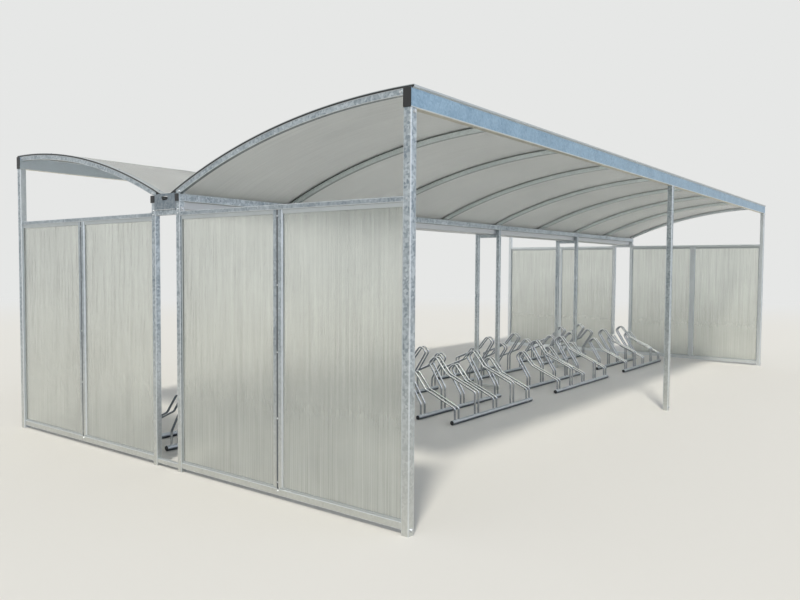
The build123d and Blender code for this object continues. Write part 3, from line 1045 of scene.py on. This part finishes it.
class SHELTER_OT_racks(bpy.types.Operator):
    """Wheel racks: ground rails, bent rods, weld beads and plugs"""

    bl_idname = "shelter.racks"
    bl_label = "Racks"

    def execute(self, context):
        plugs = bmesh.new()
        tube, plug = circle(RAIL_R, 28), circle(RAIL_R - 2.5 * MM, 28)
        proud = 4 * MM
        for name, side in SIDES.items():
            paths = [rod_path(side, 0.0), rod_path(side, HIGH_STEP)]
            rail_ys = [across(side, FRONT_RAIL), across(side, FRONT_RAIL + RAIL_SPACING)]
            for number, rack_x in enumerate(RACK_CENTRES, start=1):
                rack = f"rack_{name}_{number}"
                rails = bmesh.new()
                for y in rail_ys:
                    left, right = ((rack_x + end * RACK_LENGTH / 2, y, RAIL_R) for end in (-1, 1))
                    bar(rails, tube, left, right, ALONG_Y, bevel=1 * MM)
                    for face, out in ((left, -proud), (right, proud)):
                        bar(plugs, plug, face, (face[0] + out, y, RAIL_R), ALONG_Y, bevel=1.5 * MM)
                piece(f"{rack}_ground_rails", rails, rack_rail_zinc(), "galvanised_steel", f"{rack}_rails")

                rods = bmesh.new()
                for n in range(HOLDERS):
                    holder_x = rack_x + HOLDER_PITCH * (n - (HOLDERS - 1) / 2)
                    for hand in (-1, 1):
                        x = holder_x + hand * ROD_SPACING / 2
                        self.rod(rods, paths[n % 2], x)
                        for y in rail_ys:
                            self.weld(rods, x, y)
                piece(f"{rack}_rods", rods, bright_rod_zinc(), "bright_zinc_rod", f"{rack}_holders")
        piece("rack_plugs", plugs, moulded_plastic(), "black_plastic", "rack_rail_plugs")
        return {"FINISHED"}

    def rod(self, mesh, path, x):
        """Round rod along a path in the plane at x."""
        rings = []
        for n, point in enumerate(path):
            heading = path[min(n + 1, len(path) - 1)] - path[max(n - 1, 0)]
            square = Vector((-heading.y, heading.x)).normalized()
            rings.append([(x + a, *(point + square * b)) for a, b in circle(ROD_R, 14)])
        loft(mesh, rings)

    def weld(self, mesh, x, y):
        """Fillet weld where a rod stands on a rail: a bead that follows the rail's round top."""
        middle = ROD_R + 0.8 * MM
        bead = circle(2.6 * MM, 6)
        rings = []
        for along, beside in circle(1.0, 14):
            ring = []
            for a, b in bead:
                out = middle + a
                height = RAIL_R + math.sqrt(RAIL_R**2 - (out * beside) ** 2)
                ring.append((x + out * along, y + out * beside, height + b))
            rings.append(ring)
        loft(mesh, rings, looped=True)


class SHELTER_OT_fixings(bpy.types.Operator):
    """Bolts and washers of the posts, rafters, gutter plates and end walls"""

    bl_idname = "shelter.fixings"
    bl_label = "Fixings"

    def execute(self, context):
        bolts, angles = bmesh.new(), bmesh.new()
        inner_face = INNER_Y + INNER_SIZE / 2
        wall_mid = (WALL_LOW.y + WALL_HIGH.y) / 2
        # Where the fixings sit: u inwards of the outer posts, heights over the ground
        beam_bolt_u = 48 * MM
        post_bolt_zs = (30 * MM, BEAM_LOW.z - 17 * MM)
        inner_bolt_zs = (35 * MM, GUTTER_TIE_Z)
        plate_screw_zs = (1.712, 1.738)
        corner_screw_z = 1.710
        mullion_bolt_z = 52 * MM
        # Angle between the top rail of the wall and the inner post, and its two bolts
        angle = in_mm((0, 0), (30, 0), (30, 3), (3, 3), (3, 30), (0, 30))
        angle_half, angle_t, angle_hole = 14 * MM, 3 * MM, 18 * MM
        for side in SIDES.values():
            places = []
            for x in OUTER_POST_XS:
                for z in post_bolt_zs:
                    places.append(((x, side * (OUTER_Y + POST_SIZE / 2), z), (0, side, 0), POST_BOLT))
            for x in INNER_POST_XS[1:-1]:
                for z in inner_bolt_zs:
                    places.append(((x, side * inner_face, z), (0, side, 0), SMALL_BOLT))
            for x in RAFTER_XS:
                y, z = across(side, FOOT_U - 12 * MM), INNER_HIGH.z + 14 * MM
                for way in (-1, 1):
                    places.append(((x + way * RAFTER_HALF, y, z), (way, 0, 0), SMALL_BOLT))
                beside = x + towards_middle(x) * (RAFTER_HALF + 17 * MM)
                on_bracket = (beside, across(side, FOOT_U), INNER_HIGH.z + 3 * MM)
                places.append((on_bracket, (0, 0, 1), SMALL_BOLT))
            for end in ENDS.values():
                x = end * LENGTH / 2
                beam_bolt = (across(side, beam_bolt_u), arch_z(beam_bolt_u, -RAFTER_H / 2))
                for half, at, kind in (
                    (RAFTER_HALF, beam_bolt, SMALL_BOLT),
                    (POST_SIZE / 2, (across(side, 0), corner_screw_z), CORNER_SCREW),
                    (MULLION_HALF, (side * wall_mid, mullion_bolt_z), WALL_BOLT),
                    *[(INNER_SIZE / 2, (side * INNER_Y, z), WALL_BOLT) for z in plate_screw_zs],
                ):
                    places.append(((x + end * half, *at), (end, 0, 0), kind))
                rings = []
                for reach in (-angle_half, angle_half):
                    rings.append(
                        [(x + reach, side * (inner_face + a), WALL_HIGH.z + b) for a, b in angle]
                    )
                loft(angles, rings)
                on_post = (x, side * (inner_face + angle_t), WALL_HIGH.z + angle_hole)
                on_rail = (x, side * (inner_face + angle_hole), WALL_HIGH.z + angle_t)
                places += [(on_post, (0, side, 0), SMALL_BOLT), (on_rail, (0, 0, 1), SMALL_BOLT)]
            for at, outward, kind in places:
                washer_and_head(bolts, at, outward, kind)
        piece("wall_rail_angles", angles, galvanised_sheet(), "galvanised_sheet")
        piece("bolts_and_washers", bolts, zinc_plated_bolt(), "galvanised_steel", smooth_below=30)
        return {"FINISHED"}


class SHELTER_OT_stage(bpy.types.Operator):
    """Pale floor, soft key light from the left, even fill, and the camera"""

    bl_idname = "shelter.stage"
    bl_label = "Stage"

    def execute(self, context):
        scene = bpy.context.scene
        self.floor(scene)
        self.lights(scene)
        self.world(scene)
        self.camera(scene)
        scene.view_settings.view_transform = "Standard"
        return {"FINISHED"}

    def looked_at(self, tree):
        """1 for rays from the eye, also by way of metal and glass, and 0 for light on the shelter."""
        ray = add(tree, "LightPath").outputs
        seen = ray["Is Camera Ray"]
        for way in ("Is Transmission Ray", "Is Glossy Ray"):
            seen = add(tree, "Math", {0: seen, 1: ray[way]}, operation="MAXIMUM")
        undimmed = add(tree, "Math", {0: ray["Diffuse Depth"], 1: 0.5}, operation="LESS_THAN")
        return add(tree, "Math", {0: seen, 1: undimmed}, operation="MULTIPLY")

    def floor(self, scene):
        """Round floor that fades into the backdrop between 9 and 26 m from the middle."""
        data = bpy.data.meshes.new("studio_floor")
        mesh = bmesh.new()
        bmesh.ops.create_circle(mesh, cap_ends=True, segments=96, radius=60.0)
        mesh.to_mesh(data)
        mesh.free()
        made = bpy.data.objects.new("studio_floor", data)
        scene.collection.objects.link(made)
        finish, tree = finish_named("studio_floor")
        place = add(tree, "TexCoord").outputs["Object"]
        distance = add(tree, "VectorMath", {0: place}, operation="LENGTH").outputs["Value"]
        fade = add(tree, "MapRange", {0: distance, 1: 9.0, 2: 26.0}, interpolation_type="SMOOTHSTEP")
        share = add(tree, "Math", {0: fade, 1: self.looked_at(tree)}, operation="MULTIPLY")
        near = add(tree, "BsdfDiffuse", {"Color": opaque(colours().floor)})
        far = add(tree, "Emission", {"Color": opaque(colours().backdrop)})
        mixed = add(tree, "MixShader", {0: share, 1: near, 2: far})
        add(tree, "OutputMaterial", {"Surface": mixed})
        data.materials.append(finish)

    def lights(self, scene):
        """Key light, and a wide, cool light from in front of the long open side."""
        # Strength, angular width in degrees, colour, direction towards the lamp
        lamps = {
            "key": (2.1, 7, "FFFAF0", (-0.523, -0.275, 0.807)),
            "side_light": (0.55, 80, "C6DBFF", (0.15, -0.93, 0.32)),
        }
        for name, (strength, width, colour, towards) in lamps.items():
            data = bpy.data.lights.new(name, "SUN")
            data.energy = strength
            data.angle = math.radians(width)
            data.color = linear(colour)
            lamp = bpy.data.objects.new(name, data)
            lamp.rotation_mode = "QUATERNION"
            lamp.rotation_quaternion = Vector(towards).to_track_quat("Z", "Y")
            scene.collection.objects.link(lamp)

    def world(self, scene):
        """Even fill light on the shelter, and the plain backdrop for the eye."""
        world = bpy.data.worlds.new("studio")
        scene.world = world
        world.use_nodes = True
        tree = world.node_tree
        tree.nodes.clear()
        fill = add(tree, "Background", {"Color": opaque(linear("F0F4FA")), "Strength": 0.60})
        pale = add(tree, "Background", {"Color": opaque(colours().backdrop), "Strength": 1.0})
        mixed = add(tree, "MixShader", {0: self.looked_at(tree), 1: fill, 2: pale})
        add(tree, "OutputWorld", {"Surface": mixed})

    def camera(self, scene):
        """Camera of the photograph, fitted to the shelter's own edges."""
        place = (-7.146, -4.186, 1.3675)
        yaw, pitch, roll = (math.radians(angle) for angle in (37.215, -2.570, 0.363))
        data = bpy.data.cameras.new("camera")
        data.sensor_width = 36.0
        data.lens = 32.775
        data.clip_end = 200.0
        made = bpy.data.objects.new("camera", data)
        scene.collection.objects.link(made)
        ahead = Vector((math.cos(pitch) * math.cos(yaw), math.cos(pitch) * math.sin(yaw), math.sin(pitch)))
        level = Vector((math.sin(yaw), -math.cos(yaw), 0))
        above = level.cross(ahead)
        right = math.cos(roll) * level + math.sin(roll) * above
        up = -math.sin(roll) * level + math.cos(roll) * above
        turn = Matrix((right, up, -ahead)).transposed()
        made.matrix_world = Matrix.Translation(place) @ turn.to_4x4()
        scene.camera = made


class SHELTER_PT_panel(bpy.types.Panel):
    """Lists the shelter's sizes, colours and pieces"""

    bl_idname = "SHELTER_PT_panel"
    bl_label = "Bike shelter"
    bl_space_type = "VIEW_3D"
    bl_region_type = "UI"
    bl_category = "Shelter"

    def draw(self, context):
        layout = self.layout
        for group in (context.scene.shelter_sizes, context.scene.shelter_colours):
            box = layout.box()
            for name in group.bl_rna.properties.keys():
                if name not in ("rna_type", "name"):
                    box.prop(group, name)
        column = layout.column(align=True)
        for operator in OPERATORS:
            column.operator(operator.bl_idname)


OPERATORS = (
    SHELTER_OT_posts,
    SHELTER_OT_beams,
    SHELTER_OT_rafters,
    SHELTER_OT_roof,
    SHELTER_OT_gutter,
    SHELTER_OT_end_walls,
    SHELTER_OT_racks,
    SHELTER_OT_fixings,
    SHELTER_OT_stage,
)
CLASSES = (ShelterSizes, ShelterColours, *OPERATORS, SHELTER_PT_panel)


def register():
    for made in CLASSES:
        bpy.utils.register_class(made)
    bpy.types.Scene.shelter_sizes = bpy.props.PointerProperty(type=ShelterSizes)
    bpy.types.Scene.shelter_colours = bpy.props.PointerProperty(type=ShelterColours)


def unregister():
    del bpy.types.Scene.shelter_colours
    del bpy.types.Scene.shelter_sizes
    for made in reversed(CLASSES):
        bpy.utils.unregister_class(made)


def main():
    register()
    for operator in OPERATORS:
        group, name = operator.bl_idname.split(".")
        getattr(getattr(bpy.ops, group), name)()


if __name__ == "__main__":
    main()
